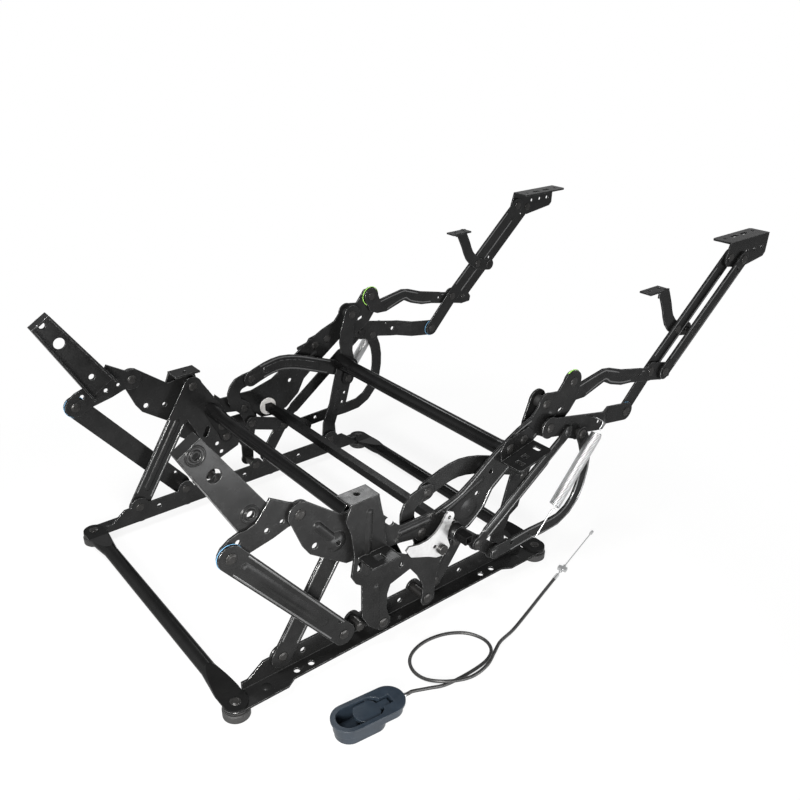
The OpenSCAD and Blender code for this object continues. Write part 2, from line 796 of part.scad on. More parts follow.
module drive_link() {
  mid = [[70, 209], [101, 213], [136, 206], [178, 190]];
  difference() {
    union() {
      plate(y_drive, plate_t) chain(curve(concat([p_crank_top], mid, [p_drive_end]), halves), drive_w);
      plate(y_drive - rib_h * 0.7, rib_h) chain(curve(mid, halves), rib_w);
    }
    drill(p_crank_top, y_drive, y_drive + plate_t, hole_r);
    drill(p_drive_end + drive_off, y_drive, y_drive + plate_t, pin_r + drive_room);
  }
}
module drive_links() {
  color("dimgray") both() drive_link();
}
module tie_link() {
  difference() {
    plate(y_drive, plate_t) bar(p_tie, p_crank_low, base_link_w);
    drill(p_tie, y_drive, y_drive + plate_t, hole_r);
    drill(p_crank_low + tie_off, y_drive, y_drive + plate_t, pin_r + tie_room);
  }
}
module tie_links() {
  color("dimgray") both() tie_link();
}
module tie_rivets() {
  color("silver") both() rivet(p_tie, y_drive, y_crank + plate_t + end_gap);
}
module base_links() {
  color("dimgray") both() two_eye_link(p_base_link, p_tie, y_crank, base_link_w, true);
}

// torque bar, levers and the pieces that lift the footrest
module square_rod(p, s, y0, y1) {
  translate([p[0] - s / 2, y0, p[1] - s / 2]) cube([s, y1 - y0, s]);
}
module torque_bar() {
  color("dimgray") difference() {
    square_rod(p_shaft, bar_s, -bar_half, bar_half);
    square_rod(p_shaft, bar_s - 2 * bar_wall, -bar_half - 1, bar_half + 1);
  }
}
module shaft_lever() {
  difference() {
    union() {
      plate(y_up, plate_t) {
        eye(p_shaft, 14);
        bar(p_shaft, p_strap, 20);
        eye(p_lift, 12);
        bar(p_strap, 2 * strap_slot_at - p_strap, 25);
      }
      rod(p_shaft, y_up, y_up + 16, bar_s * 0.5 + 6);
    }
    square_rod(p_shaft, bar_s + 2 * run_gap, y_up - 1, y_up + 20);
    drill(p_lift, y_up, y_up + plate_t, hole_r);
    slot_cut(strap_slot_at, y_up, strap_slot_len, 2 * (pin_r + slot_room), strap_slot_turn);
  }
}
module shaft_levers() {
  color("dimgray") both() shaft_lever();
}
module shaft_bush() {
  out = y_seat + plate_t;
  difference() {
    union() {
      rod(p_shaft, y_seat - end_gap, out + end_gap, bush_r);
      rod(p_shaft, y_seat - end_gap - 3, y_seat - end_gap, bush_r + 4);
      rod(p_shaft, out + end_gap, y_up, bush_r + 1);
    }
    square_rod(p_shaft, bar_s + 2 * run_gap, y_seat - 10, y_up + 10);
  }
}
module shaft_bushes() {
  color("white") both() shaft_bush();
}
module lever_rivets() {
  color("silver") both() rivet(p_lift, y_up, y_lift + plate_t + end_gap);
}
module lift_link() {
  d = unit(p_lift_top - p_lift);
  difference() {
    union() {
      plate(y_lift, plate_t) {
        bar(p_lift, p_lift_top, lift_w);
        eye(p_lift, 11);
        bar(p_lift + 24 * d, p_lift_top - 60 * d, lift_w + 4);
      }
      rib(p_lift + 22 * d, p_lift_top - 28 * d, y_lift + plate_t, 1, rib_w, layer_gap * 0.7);
    }
    drill(p_lift, y_lift, y_lift + plate_t, hole_r);
  }
  rivet(p_lift_top, y_up - end_gap, y_lift + plate_t);
}
module lift_links() {
  color("dimgray") both() lift_link();
}
module drive_strap() {
  path = [p_strap, p_spring_low, [296, 64], [332, 90], [345, 136], [342, 176], p_strap_top];
  difference() {
    plate(y_strap, plate_t) chain(curve(path, halves), strap_w);
    drill(p_strap_top, y_strap, y_strap + plate_t, hole_r);
    drill(p_spring_low, y_strap, y_strap + plate_t, wire_r + run_gap);
    drill(p_strap + [34, 3], y_strap, y_strap + plate_t, 3.5);
  }
  rivet(p_strap, y_up - end_gap, y_strap + plate_t);
  rod(p_strap, y_up + plate_t + end_gap, y_strap + eps, 6);
}
module drive_straps() {
  color("dimgray") both() drive_strap();
}

// footrest links and arms
module lower_link() {
  k0 = 388;
  k1 = 416;
  drop = y_up - y_back;
  difference() {
    intersection() {
      plate(y_back - 4, drop + 8 + plate_t) {
        chain([p_lower, p_spring_high, p_arm_low], foot_link_w);
        eye(p_lower, 17);
        eye(p_lift_top, 14);
        eye(p_strap_top, 13);
        bar(p_lift_top, p_strap_top, 24);
      }
      translate([0, 0, p_arm_low[1] - 40]) linear_extrude(140)
        polygon([[220, y_up], [k0, y_up], [k1, y_back], [500, y_back], [500, y_back + plate_t],
          [k1 + 1.6, y_back + plate_t], [k0 + 1.6, y_up + plate_t], [220, y_up + plate_t]]);
    }
    drill(p_lower, y_up, y_up + plate_t, hole_r);
    slot_cut(lift_slot_at, y_up, lift_slot_len, 2 * (pin_r + lift_room), lift_slot_turn);
    drill(p_strap_top, y_up, y_up + plate_t, hole_r);
    drill(p_spring_high, y_up, y_up + plate_t, 4);
    drill(p_hook, y_up, y_up + plate_t, wire_r + 0.6);
    drill(p_arm_low, y_back, y_back + plate_t, hole_r);
  }
}
module lower_links() {
  color("dimgray") both() lower_link();
}
module lower_rivets() {
  color("silver") both() {
    shoulder_rivet(p_strap_top, y_up, y_strap + plate_t + end_gap, y_up + plate_t,
      y_strap - end_gap, 6);
  }
}
module upper_shape() {
  points = [[-14, -6], [-2, -29], [14, -36], [36, -37], [80, -24], [98, -33], [126, -42], [152, -45],
    [203, -56], [209, -25], [194, -31], [138, -20], [92, -4], [74, -1], [20, -10], [12, 10]];
  polygon([for (q = points) p_upper + q]);
}
module upper_link() {
  bend = p_upper + [86, -13];
  d = unit(p_arm_up - bend);
  out = y_back + plate_t;
  h = layer_gap * 0.7;
  difference() {
    union() {
      plate(y_back, plate_t) {
        upper_shape();
        eye(p_upper, 16);
        eye(p_arm_up, 16);
        bar(p_arm_up, p_outer_low, foot_link_w);
        polygon([p_outer_low + [-4, -15], p_outer_low + [20, -14], p_outer_low + [22, -4],
          p_outer_low + [10, 12]]);
      }
      for (side = [-1, 1]) {
        rib(bend + 16 * d, p_arm_up - 30 * d, side > 0 ? out : y_back, side, rib_w, h);
        rib(p_upper + [34, -24], bend - [12, 3], side > 0 ? out : y_back, side, rib_w, h);
      }
    }
    drill(p_upper, y_back, out, hole_r);
    drill(p_arm_up, y_back, out, hole_r);
    drill(p_outer_low, y_back, out, hole_r);
    drill(p_upper + [172, -37], y_back - h, out + h, 3);
  }
}
module upper_links() {
  color("dimgray") both() upper_link();
}
module upper_rivets() {
  far = y_seat + plate_t + end_gap;
  color("silver") both() {
    rivet(p_arm_up, y_crank - end_gap, y_back + plate_t);
    rod(p_outer_low, y_back, far, pin_r);
    translate([p_outer_low[0], far - eps, p_outer_low[1]]) rotate([-90, 0, 0]) head_cap();
  }
}
module inner_arm() {
  d = arm_vec / norm(arm_vec);
  difference() {
    union() {
      plate(y_crank, plate_t) chain([p_arm_low, p_arm_up, p_arm_top], inner_arm_w);
      rib(p_arm_up + 24 * d, p_mid - 22 * d, y_crank, -1, rib_w, layer_gap * 0.6);
      rib(p_mid + 26 * d, p_arm_top - 26 * d, y_crank, -1, rib_w, layer_gap * 0.6);
    }
    for (p = [p_arm_low, p_arm_up, p_mid, p_arm_top])
      drill(p, y_crank, y_crank + plate_t, hole_r);
  }
}
module inner_arms() {
  color("dimgray") both() inner_arm();
}
module arm_rivets() {
  color("silver") both() {
    rivet(p_arm_low, y_crank, y_back + plate_t + end_gap);
    rivet(p_mid, y_drive - end_gap, y_crank + plate_t);
  }
}
module arm_washers() {
  color("blue") both() ring(p_arm_low, y_crank + plate_t, y_back - end_gap, 11, hole_r);
}
module outer_arm() {
  d = arm_vec / norm(arm_vec);
  difference() {
    union() {
      plate(y_seat, plate_t) bar(p_outer_low, p_outer_top, outer_arm_w);
      rib(p_outer_low + 28 * d, p_mid_tail - 26 * d, y_seat + plate_t, 1, rib_w, rib_h);
      rib(p_mid_tail + 26 * d, p_outer_top - 30 * d, y_seat + plate_t, 1, rib_w, rib_h);
    }
    for (p = [p_outer_low, p_mid_tail, p_outer_top])
      drill(p, y_seat, y_seat + plate_t, hole_r);
    drill(p_mid_tail + 15 * d, y_seat, y_seat + plate_t, 3);
    drill(p_outer_top - 18 * d, y_seat, y_seat + plate_t, 3);
  }
}
module outer_arms() {
  color("dimgray") both() outer_arm();
}
// angle bracket that carries the footrest board
rest_top = p_arm_top[1] + 26;
rest_x0 = p_arm_top[0] - 8;
rest_x1 = rest_x0 + rest_len;
module footrest_bracket() {
  in_y = y_back + plate_t - rest_flange;
  difference() {
    union() {
      plate(y_back, plate_t) {
        eye(p_arm_top, 15);
        eye(p_outer_top, 15);
        polygon([[rest_x0, rest_top], [rest_x0 - 6, rest_top - 22], p_arm_top + [0, -15],
          p_outer_top + [0, -15], [rest_x1 - 6, rest_top - 40], [rest_x1, rest_top - 34],
          [rest_x1, rest_top]]);
      }
      translate([rest_x0, in_y + 6, rest_top - plate_t])
        cube([rest_x1 - rest_x0, rest_flange - 6, plate_t]);
      translate([rest_x0 + 6, in_y, rest_top - plate_t])
        cube([rest_x1 - rest_x0 - 12, rest_flange, plate_t]);
      for (x = [rest_x0 + 6, rest_x1 - 6]) translate([x, in_y + 6, rest_top - plate_t])
        cylinder(r = 6, h = plate_t);
    }
    drill(p_arm_top, y_back, y_back + plate_t, hole_r);
    drill(p_outer_top, y_back, y_back + plate_t, hole_r);
    for (x = [rest_x1 - 62, rest_x1 - 38, rest_x1 - 16])
      drill([x, rest_top - 22], y_back, y_back + plate_t, rest_hole_d / 2);
    for (x = [rest_x0 + 16, rest_x1 - 16]) translate([x, in_y + 14, rest_top - plate_t - 1])
      cylinder(r = rest_hole_d / 2, h = plate_t + 2);
    translate([0, 0, rest_top - plate_t - 1]) linear_extrude(plate_t + 2) {
      slot([rest_x0 + 44, in_y + 14], 20, rest_hole_d, 0);
      slot([rest_x1 - 44, in_y + 14], 20, rest_hole_d, 0);
    }
  }
}
module footrest_brackets() {
  color("dimgray") both() footrest_bracket();
}
module bracket_rivets() {
  color("silver") both() {
    rivet(p_arm_top, y_crank - end_gap, y_back + plate_t);
    rivet(p_outer_top, y_back, y_seat + plate_t + end_gap);
    shoulder_rivet(p_outer_top, y_back, y_seat + plate_t + end_gap, y_back + plate_t,
      y_seat - end_gap, head_r);
  }
}
// small carrier for the middle footrest board
mid_in = 9;
module mid_bracket() {
  top = [p_mid[0] - 62, p_mid[1] + 74];
  difference() {
    union() {
      plate(y_drive, plate_t) {
        chain(curve([p_mid_tail, p_mid, p_mid + [-24, 20], p_mid + [-36, 44], p_mid + [-48, 66]],
          halves), 22);
        translate([top[0] - 2, top[1] - 10]) square([24, 12]);
      }
      translate([top[0] - 26, y_drive - 18, top[1] + 2 - plate_t])
        cube([46, 18 + plate_t, plate_t]);
    }
    drill(p_mid, y_drive, y_drive + plate_t, hole_r);
    drill(p_mid_tail, y_drive, y_drive + plate_t, hole_r);
    for (s = [-14, 10]) translate([top[0] + s, y_drive - mid_in, top[1] - plate_t])
      cylinder(r = rest_hole_d / 2, h = 2 * plate_t);
  }
  rivet(p_mid_tail, y_drive, y_seat + plate_t + end_gap);
}
module mid_brackets() {
  color("dimgray") both() mid_bracket();
}

// latch, on the right side only
latch_eye_r = 9;
latch_points = concat([[12, 27], [10, 15], [16, -2], [8, -13], [-9, -11], [-24, -3], [-56, 10],
  [-65, 24], [-60, 29], [-42, 25], [-25, 26], [-12, 32], [-3, 41]],
  [for (a = [165 : -15 : -30]) p_latch_eye - p_latch + latch_eye_r * [cos(a), sin(a)]]);
module latch_lever() {
  color("lightgray") right_side() difference() {
    plate(y_lift, plate_t) polygon([for (q = latch_points) p_latch + q]);
    drill(p_latch_eye, y_lift, y_lift + plate_t, 3);
    drill(p_latch, y_lift, y_lift + plate_t, hole_r);
    drill(p_latch + [-13, 9], y_lift, y_lift + plate_t, 3);
  }
}
module latch_bolt() {
  color("silver") right_side() {
    rod(p_latch, y_up - 5, y_lift + plate_t + end_gap, pin_r);
    rod(p_latch, y_lift + plate_t + end_gap, y_lift + plate_t + end_gap + 5, head_r);
    translate([p_latch[0], y_up - 5, p_latch[1]]) rotate([-90, 0, 0])
      cylinder(r = head_r, h = 5, $fn = 6);
  }
}

// extension springs: each a single wire swept through straight ends and a coil
coil_len = curls * coil_pitch;
spring_dir = (p_hook - p_spring_low) / norm(p_hook - p_spring_low);
spring_len = norm(p_hook - p_spring_low);
coil_start = spring_len - coil_len - 22;
function unit(v) = v / norm(v);
// along the axis, outwards, and across the axis in the side plane
function spring_at(s, out, side) = [
  p_spring_low[0] + s * spring_dir[0] - side * spring_dir[1],
  spring_y + out,
  p_spring_low[1] + s * spring_dir[1] + side * spring_dir[0]];
leg_in = y_strap - spring_y;
leg_high = y_up + plate_t + 0.6 - spring_y;
coil_pts = [for (i = [0 : curls * 8]) let (a = i * 45)
  spring_at(coil_start + i * coil_pitch / 8, coil_r * cos(a), coil_r * sin(a))];
spring_pts = concat(
  [spring_at(0, leg_in, 0), spring_at(0, -4, 0), spring_at(1.2, -1.2, 0), spring_at(4, 0, 0)],
  [spring_at(coil_start - 9, 0, 0), spring_at(coil_start - 5, coil_r * 0.6, 0)],
  coil_pts,
  [spring_at(coil_start + coil_len + 5, coil_r * 0.6, 0),
    spring_at(coil_start + coil_len + 9, 0, 0)],
  [spring_at(spring_len - 4, 0, 0), spring_at(spring_len - 1.2, -1.2, 0),
    spring_at(spring_len, -4, 0), spring_at(spring_len, leg_high, 0)]);
spring_gap = min([for (i = [0 : curls * 8 - 8], j = [i + 6 : min(i + 10, curls * 8)])
  norm(coil_pts[j] - coil_pts[i])]) - 2 * wire_r;
echo(spring_gap = spring_gap);
// round tube along a list of points
function along(pts, i) = unit(pts[min(i + 1, len(pts) - 1)] - pts[max(i - 1, 0)]);
function frames(pts, i, u) = i >= len(pts) ? [] :
  let (t = along(pts, i), v = unit(u - (u * t) * t)) concat([[v, cross(t, v)]], frames(pts, i + 1, v));
module wire_tube(pts, r, n, start) {
  f = frames(pts, 0, start);
  last = len(pts) - 1;
  ring_pts = [for (i = [0 : last], k = [0 : n - 1])
    pts[i] + r * (cos(360 * k / n) * f[i][0] + sin(360 * k / n) * f[i][1])];
  walls = [for (i = [0 : last - 1], k = [0 : n - 1]) let (a = i * n + k, b = i * n + (k + 1) % n)
    each [[a, a + n, b + n], [a, b + n, b]]];
  ends = [for (k = [1 : n - 2]) each [[0, k, k + 1], [last * n, last * n + k + 1, last * n + k]]];
  polyhedron(points = ring_pts, faces = concat(walls, ends), convexity = 10);
}
module spring_wire() {
  wire_tube(spring_pts, wire_r, 6, [1, 0, 0]);
}
module springs() {
  color("silver") both() spring_wire();
}

// cable-pull handle
cup_at = [-151, -354];
cup_turn = -6;
rim_t = 3;
pocket_x = -12;
pin_x = 6;
end_h = 17;
ferrule_x = 40;
ferrule_r = sheath_r + 0.4;
ferrule_len = 16;
module cup_frame() {
  translate([cup_at[0], cup_at[1], floor_z]) rotate([0, 0, cup_turn]) children();
}
module oval(l, w) {
  translate([-(l - w) / 2, -w / 2]) square([l - w, w]);
  translate([-(l - w) / 2, 0]) circle(w / 2);
  translate([(l - w) / 2, 0]) circle(w / 2);
}
module cup_pocket(extra) {
  wide = cup_w - 8 - 2 * cup_wall + 2 * extra;
  translate([pocket_x, 0]) oval(cup_len - 38 + 2 * extra, wide);
}
module handle_cup() {
  body_w = cup_w - 8;
  color("darkslategray") cup_frame() difference() {
    union() {
      translate([0, 0, cup_h - rim_t]) linear_extrude(rim_t) oval(cup_len, cup_w);
      linear_extrude(cup_h) cup_pocket(cup_wall);
      translate([0, 0, cup_h - end_h]) linear_extrude(end_h) oval(cup_len - 6, body_w);
    }
    translate([0, 0, cup_wall]) linear_extrude(cup_h) cup_pocket(0);
    translate([18, -7, cup_h - 13.5]) cube([16, 14, 20]);
    translate([ferrule_x, 0, cup_h - 7]) rotate([0, 90, 0]) cylinder(r = ferrule_r + run_gap, h = 30);
    translate([pin_x, -cup_w, cup_h - 6]) rotate([-90, 0, 0]) cylinder(r = 2 + run_gap, h = 2 * cup_w);
  }
}
module handle_paddle() {
  color("darkslategray") cup_frame() {
    translate([0, 0, cup_h - 6 - 2.5]) linear_extrude(5) {
      intersection() {
        translate([-2, 0]) circle(18);
        translate([-20, -15]) square([34, 30]);
      }
      translate([8, -5.5]) square([22, 11]);
    }
    translate([pin_x, -cup_w / 2 + 3, cup_h - 6]) rotate([-90, 0, 0]) cylinder(r = 2, h = cup_w - 6);
  }
}

// release cable, laid on the floor in one loop
sheath_z = floor_z + sheath_r + 0.2;
over_z = sheath_z + 2 * sheath_r + 0.8;
cup_dir = [cos(cup_turn), sin(cup_turn), 0];
cable_out = [cup_at[0], cup_at[1], floor_z + cup_h - 7] + (ferrule_x + ferrule_len) * cup_dir;
route = [cable_out, cable_out + 6 * cup_dir, cable_out + 12 * cup_dir, [-58, -364, -5],
  [-30, -367, sheath_z + 1], [10, -369.5, sheath_z], [45, -367, sheath_z], [66, -356, sheath_z], [73, -336, sheath_z],
  [64, -312, sheath_z], [44, -296, sheath_z], [20, -288, sheath_z], [-4, -287, sheath_z],
  [-26, -293, sheath_z], [-41, -305, sheath_z], [-48, -323, sheath_z], [-46, -343, sheath_z + 2],
  [-36, -361, over_z], [-18, -373, over_z], [8, -379, sheath_z + 3], [38, -376, sheath_z + 3],
  [62, -366, over_z], [84, -356, over_z], [120, -346, sheath_z], [160, -334, sheath_z],
  [210, -318, sheath_z], [242, -308, sheath_z], [258, -303, sheath_z]];
sheath_pts = curve(route, [0, 0.34, 0.67]);
module cable_sheath() {
  color("black") wire_tube(sheath_pts, sheath_r, 8, [0, 0, 1]);
}
cable_dir = unit(route[len(route) - 1] - route[len(route) - 2]);
module on_line(from, dir, s) {
  translate(from + s * dir) rotate([0, 0, atan2(dir[1], dir[0])]) rotate([0, 90, 0]) children();
}
module cable_ferrules() {
  color("silver") {
    on_line(cable_out, cup_dir, -ferrule_len) cylinder(r = ferrule_r, h = ferrule_len);
    on_line(route[len(route) - 1], cable_dir, 0) difference() {
      cylinder(r = ferrule_r, h = 14);
      translate([0, 0, 6]) cylinder(r = cable_r + run_gap, h = 20);
    }
  }
}
module cable_clip() {
  color("silver") on_line(route[len(route) - 1], cable_dir, 24) difference() {
    union() {
      cylinder(r = sheath_r + 0.1, h = 18);
      translate([-sheath_r - 0.1, -7, 5]) cube([2 * sheath_r, 14, 8]);
    }
    translate([0, 0, -1]) cylinder(r = cable_r + run_gap, h = 30);
  }
}
module cable_wire() {
  color("silver") {
    on_line(route[len(route) - 1], cable_dir, 6.2) cylinder(r = cable_r, h = 146);
    on_line(route[len(route) - 1], cable_dir, 152 - eps) cylinder(r = sheath_r, h = 8);
  }
}

rail_left();
rail_right();
rear_base_tube();
front_base_tube();
foot_pads();
base_studs();
upright_left();
upright_right();
rear_leg_left();
rear_leg_right();
rear_leg_tube();
rear_leg_rivets();
front_leg_left();
front_leg_right();
front_leg_tube();
front_leg_rivets();
seat_plate_left();
seat_plate_right();
front_mounts();
seat_rivets();
seat_spacers();
seat_washers();
back_plates();
back_arm_left();
back_arm_right();
back_rivets();
back_washers();
control_links();
hook_cranks();
crank_rivets();
drive_links();
tie_links();
tie_rivets();
base_links();
torque_bar();
shaft_levers();
shaft_bushes();
lever_rivets();
lift_links();
drive_straps();
lower_links();
lower_rivets();
upper_links();
upper_rivets();
inner_arms();
arm_rivets();
arm_washers();
outer_arms();
footrest_brackets();
bracket_rivets();
mid_brackets();
latch_lever();
latch_bolt();
springs();
handle_cup();
handle_paddle();
cable_sheath();
cable_ferrules();
cable_clip();
cable_wire();
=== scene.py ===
import math

import bmesh
import bpy
from mathutils import Matrix, Vector


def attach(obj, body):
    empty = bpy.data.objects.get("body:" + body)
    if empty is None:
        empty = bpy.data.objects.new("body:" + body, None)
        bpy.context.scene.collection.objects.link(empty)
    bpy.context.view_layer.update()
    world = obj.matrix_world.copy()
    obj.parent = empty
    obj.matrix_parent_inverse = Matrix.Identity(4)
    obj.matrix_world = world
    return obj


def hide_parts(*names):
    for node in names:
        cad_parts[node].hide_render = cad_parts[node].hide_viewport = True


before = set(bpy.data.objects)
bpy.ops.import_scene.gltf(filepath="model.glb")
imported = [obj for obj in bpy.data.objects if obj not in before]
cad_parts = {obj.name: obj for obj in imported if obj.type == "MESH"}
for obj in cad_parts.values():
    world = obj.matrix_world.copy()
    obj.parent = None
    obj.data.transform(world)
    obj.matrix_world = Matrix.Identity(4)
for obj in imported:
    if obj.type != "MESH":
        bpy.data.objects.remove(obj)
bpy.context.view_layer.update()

MM = 0.001
FLOOR_Z = -17.0
SIDES = ((1, "left"), (-1, "right"))
scene = bpy.context.scene


# Node trees
def fill(tree, socket, value):
    """Link the socket to another one, or set its value."""
    if isinstance(value, bpy.types.NodeSocket):
        tree.links.new(value, socket)
    else:
        socket.default_value = value


def add_node(tree, kind, operation=None, **sockets):
    """A node with its sockets filled in, by name or by _number."""
    node = tree.nodes.new(kind)
    if operation:
        node.operation = operation
    for name, value in sockets.items():
        key = int(name[1:]) if name[0] == "_" else name.replace("_", " ").title()
        fill(tree, node.inputs[key], value)
    return node


def object_place(tree):
    return tree.nodes.new("ShaderNodeTexCoord").outputs["Object"]


def map_range(tree, value, low, high, to_low=0.0, to_high=1.0):
    node = add_node(tree, "ShaderNodeMapRange", _0=value, _1=low, _2=high, _3=to_low, _4=to_high)
    return node.outputs[0]


def multiply(tree, a, b):
    return add_node(tree, "ShaderNodeMath", "MULTIPLY", _0=a, _1=b).outputs[0]


def mix_colour(tree, share, low, high):
    mixed = tree.nodes.new("ShaderNodeMix")
    mixed.data_type = "RGBA"
    for socket, value in ((0, share), (6, low), (7, high)):
        fill(tree, mixed.inputs[socket], value)
    return mixed.outputs[2]


def mix_shader(tree, share, low, high):
    return add_node(tree, "ShaderNodeMixShader", _0=share, _1=low.outputs[0],
                    _2=high.outputs[0]).outputs[0]


# Effects that several finishes share
CLOUD_SPREAD = (0.33, 0.67)
EDGE_SAMPLES = 16
EDGE_TURN = (0.9, 0.72)
PATCH_SCALE = 140.0
PATCH_SPREAD = (0.38, 0.62)


def new_group(name, inputs, outputs):
    """A shader node group with named sockets, what it is given, and its end node."""
    tree = bpy.data.node_groups.new(name, "ShaderNodeTree")
    for label, value in inputs:
        socket = tree.interface.new_socket(label, in_out="INPUT", socket_type="NodeSocketFloat")
        socket.default_value = value
    for label, kind in outputs:
        tree.interface.new_socket(label, in_out="OUTPUT", socket_type=kind)
    return tree, tree.nodes.new("NodeGroupInput").outputs, tree.nodes.new("NodeGroupOutput")


def place_group(tree, group, **values):
    node = tree.nodes.new("ShaderNodeGroup")
    node.node_tree = group
    for label, value in values.items():
        fill(tree, node.inputs[label.capitalize()], value)
    return node


def mottle_group():
    """Soft uneven value, between a low and a high end."""
    tree, given, made = new_group(
        "mottle", [("Scale", 60.0), ("Low", 0.0), ("High", 1.0)], [("Value", "NodeSocketFloat")])
    cloud = add_node(tree, "ShaderNodeTexNoise", vector=object_place(tree), scale=given["Scale"],
                     detail=5.0, roughness=0.62)
    spread = map_range(tree, cloud.outputs["Fac"], *CLOUD_SPREAD, given["Low"], given["High"])
    tree.links.new(spread, made.inputs["Value"])
    return tree


def wear_and_highlight_edge_group():
    """Rounded normal at sharp edges, and a broken mask along them, by which the finishes lighten
    the edges: partly wear, partly painted highlight.
    """
    tree, given, made = new_group(
        "wear_and_highlight_edge", [("Radius", 0.0006), ("Amount", 1.0)],
        [("Mask", "NodeSocketFloat"), ("Normal", "NodeSocketVector")])
    rounded = add_node(tree, "ShaderNodeBevel", radius=given["Radius"])
    rounded.samples = EDGE_SAMPLES
    flat = tree.nodes.new("ShaderNodeNewGeometry").outputs["Normal"]
    across = add_node(tree, "ShaderNodeVectorMath", "DOT_PRODUCT", _0=rounded.outputs["Normal"],
                      _1=flat)
    turned = map_range(tree, across.outputs["Value"], *EDGE_TURN)
    patch = add_node(tree, "ShaderNodeTexNoise", vector=object_place(tree), scale=PATCH_SCALE,
                     detail=4.0)
    broken = map_range(tree, patch.outputs["Fac"], *PATCH_SPREAD)
    mask = multiply(tree, multiply(tree, turned, broken), given["Amount"])
    tree.links.new(mask, made.inputs["Mask"])
    tree.links.new(rounded.outputs["Normal"], made.inputs["Normal"])
    return tree


MOTTLE = mottle_group()
WEAR_AND_HIGHLIGHT_EDGE = wear_and_highlight_edge_group()


# Finishes
GLOSS_CLOUD = 2.3
GRAIN_HEIGHT = 0.0004


def grey(level, warm=1.0):
    return (level * warm, level, level / warm, 1.0)


def new_finish(name, **constants):
    """A material with its shader, and constants set on the shader's own sockets."""
    finish = bpy.data.materials.new(name)
    finish.use_nodes = True
    shader = finish.node_tree.nodes["Principled BSDF"]
    for label, value in constants.items():
        shader.inputs[label.replace("_", " ").title().replace("Ior", "IOR")].default_value = value
    return finish, finish.node_tree, shader


def plain_finish(name, dark, light, cloud=45.0, gloss=(0.3, 0.45), **constants):
    """Finish of a smooth round surface: mottled colour and gloss."""
    finish, tree, shader = new_finish(name, **constants)
    tone = place_group(tree, MOTTLE, scale=cloud)
    base = mix_colour(tree, tone.outputs["Value"], dark, light)
    tree.links.new(base, shader.inputs["Base Color"])
    sheen = place_group(tree, MOTTLE, scale=cloud * GLOSS_CLOUD, low=gloss[0], high=gloss[1])
    tree.links.new(sheen.outputs["Value"], shader.inputs["Roughness"])
    return finish


def surface_finish(name, dark, light, edge, edge_amount=0.5, cloud=45.0, gloss=(0.3, 0.45),
                   grain=900.0, grain_depth=0.02, radius=0.0006, **constants):
    """Finish of a rigid surface: as the plain one, with fine grain and rounded edges in a lighter
    edge colour, partly wear and partly painted highlight.
    """
    finish = plain_finish(name, dark, light, cloud, gloss, **constants)
    tree = finish.node_tree
    shader = tree.nodes["Principled BSDF"]
    # lighter edge colour: partly wear, partly painted highlight along the edges
    edge_wear_and_highlight = place_group(tree, WEAR_AND_HIGHLIGHT_EDGE, radius=radius, amount=edge_amount)
    base = shader.inputs["Base Color"].links[0].from_socket
    tree.links.new(mix_colour(tree, edge_wear_and_highlight.outputs["Mask"], base, edge), shader.inputs["Base Color"])
    pits = place_group(tree, MOTTLE, scale=grain)
    bump = add_node(tree, "ShaderNodeBump", strength=grain_depth, distance=GRAIN_HEIGHT,
                    height=pits.outputs["Value"], normal=edge_wear_and_highlight.outputs["Normal"])
    tree.links.new(bump.outputs["Normal"], shader.inputs["Normal"])
    return finish


FINISHES = {
    # Light grey edges, strongest on black steel and rivet steel, are partly wear and partly
    # painted highlight
    "black_steel": surface_finish(
        "black_steel", grey(0.020, 0.99), grey(0.027, 0.99), grey(0.4, 0.99), edge_amount=0.9,
        gloss=(0.22, 0.29), radius=0.0016, metallic=0.6, specular_ior_level=0.15,
        specular_tint=grey(0.35)),
    "tube_steel": plain_finish(
        "tube_steel", grey(0.014, 0.99), grey(0.018, 0.99), gloss=(0.18, 0.24), metallic=0.6,
        specular_ior_level=0.15, specular_tint=grey(0.3)),
    # Light grey copy of black steel for the pressed rims: painted highlight along them
    "rim_painted_highlight": plain_finish(
        "rim_painted_highlight", grey(0.13, 0.99), grey(0.16, 0.99), gloss=(0.16, 0.22), metallic=0.7,
        specular_ior_level=0.15, specular_tint=grey(0.35)),
    "rivet_steel": surface_finish(
        "rivet_steel", grey(0.026, 1.01), grey(0.040, 1.02), grey(0.4), edge_amount=0.9,
        cloud=120.0, gloss=(0.2, 0.3), radius=0.0012, metallic=0.6, specular_ior_level=0.2,
        specular_tint=grey(0.4)),
    "zinc_plate": plain_finish(
        "zinc_plate", grey(0.6), grey(0.7), cloud=90.0, gloss=(0.28, 0.38), metallic=1.0),
    "spring_steel": plain_finish(
        "spring_steel", grey(0.44, 0.99), grey(0.54, 0.99), cloud=60.0, gloss=(0.34, 0.44),
        metallic=1.0),
    "white_nylon": surface_finish(
        "white_nylon", grey(0.72, 1.02), grey(0.80, 1.02), grey(0.85), gloss=(0.4, 0.5)),
    "blue_nylon": surface_finish(
        "blue_nylon", (0.09, 0.22, 0.36, 1), (0.12, 0.27, 0.42, 1), (0.2, 0.36, 0.5, 1),
        gloss=(0.35, 0.5)),
    "green_nylon": surface_finish(
        "green_nylon", (0.32, 0.66, 0.12, 1), (0.4, 0.74, 0.16, 1), (0.5, 0.8, 0.25, 1),
        gloss=(0.35, 0.5)),
    "black_nylon": surface_finish(
        "black_nylon", grey(0.010), grey(0.016), grey(0.04), gloss=(0.4, 0.55)),
    "pad_rubber": surface_finish(
        "pad_rubber", grey(0.010), grey(0.018), grey(0.04), cloud=80.0, gloss=(0.5, 0.7),
        grain=600.0, grain_depth=0.08),
    "handle_plastic": surface_finish(
        "handle_plastic", (0.010, 0.015, 0.022, 1), (0.014, 0.021, 0.030, 1),
        (0.055, 0.066, 0.08, 1), cloud=60.0, gloss=(0.32, 0.44), grain=700.0, grain_depth=0.05,
        radius=0.001),
    "sheath_vinyl": plain_finish(
        "sheath_vinyl", grey(0.010), grey(0.016), cloud=60.0, gloss=(0.32, 0.45)),
}

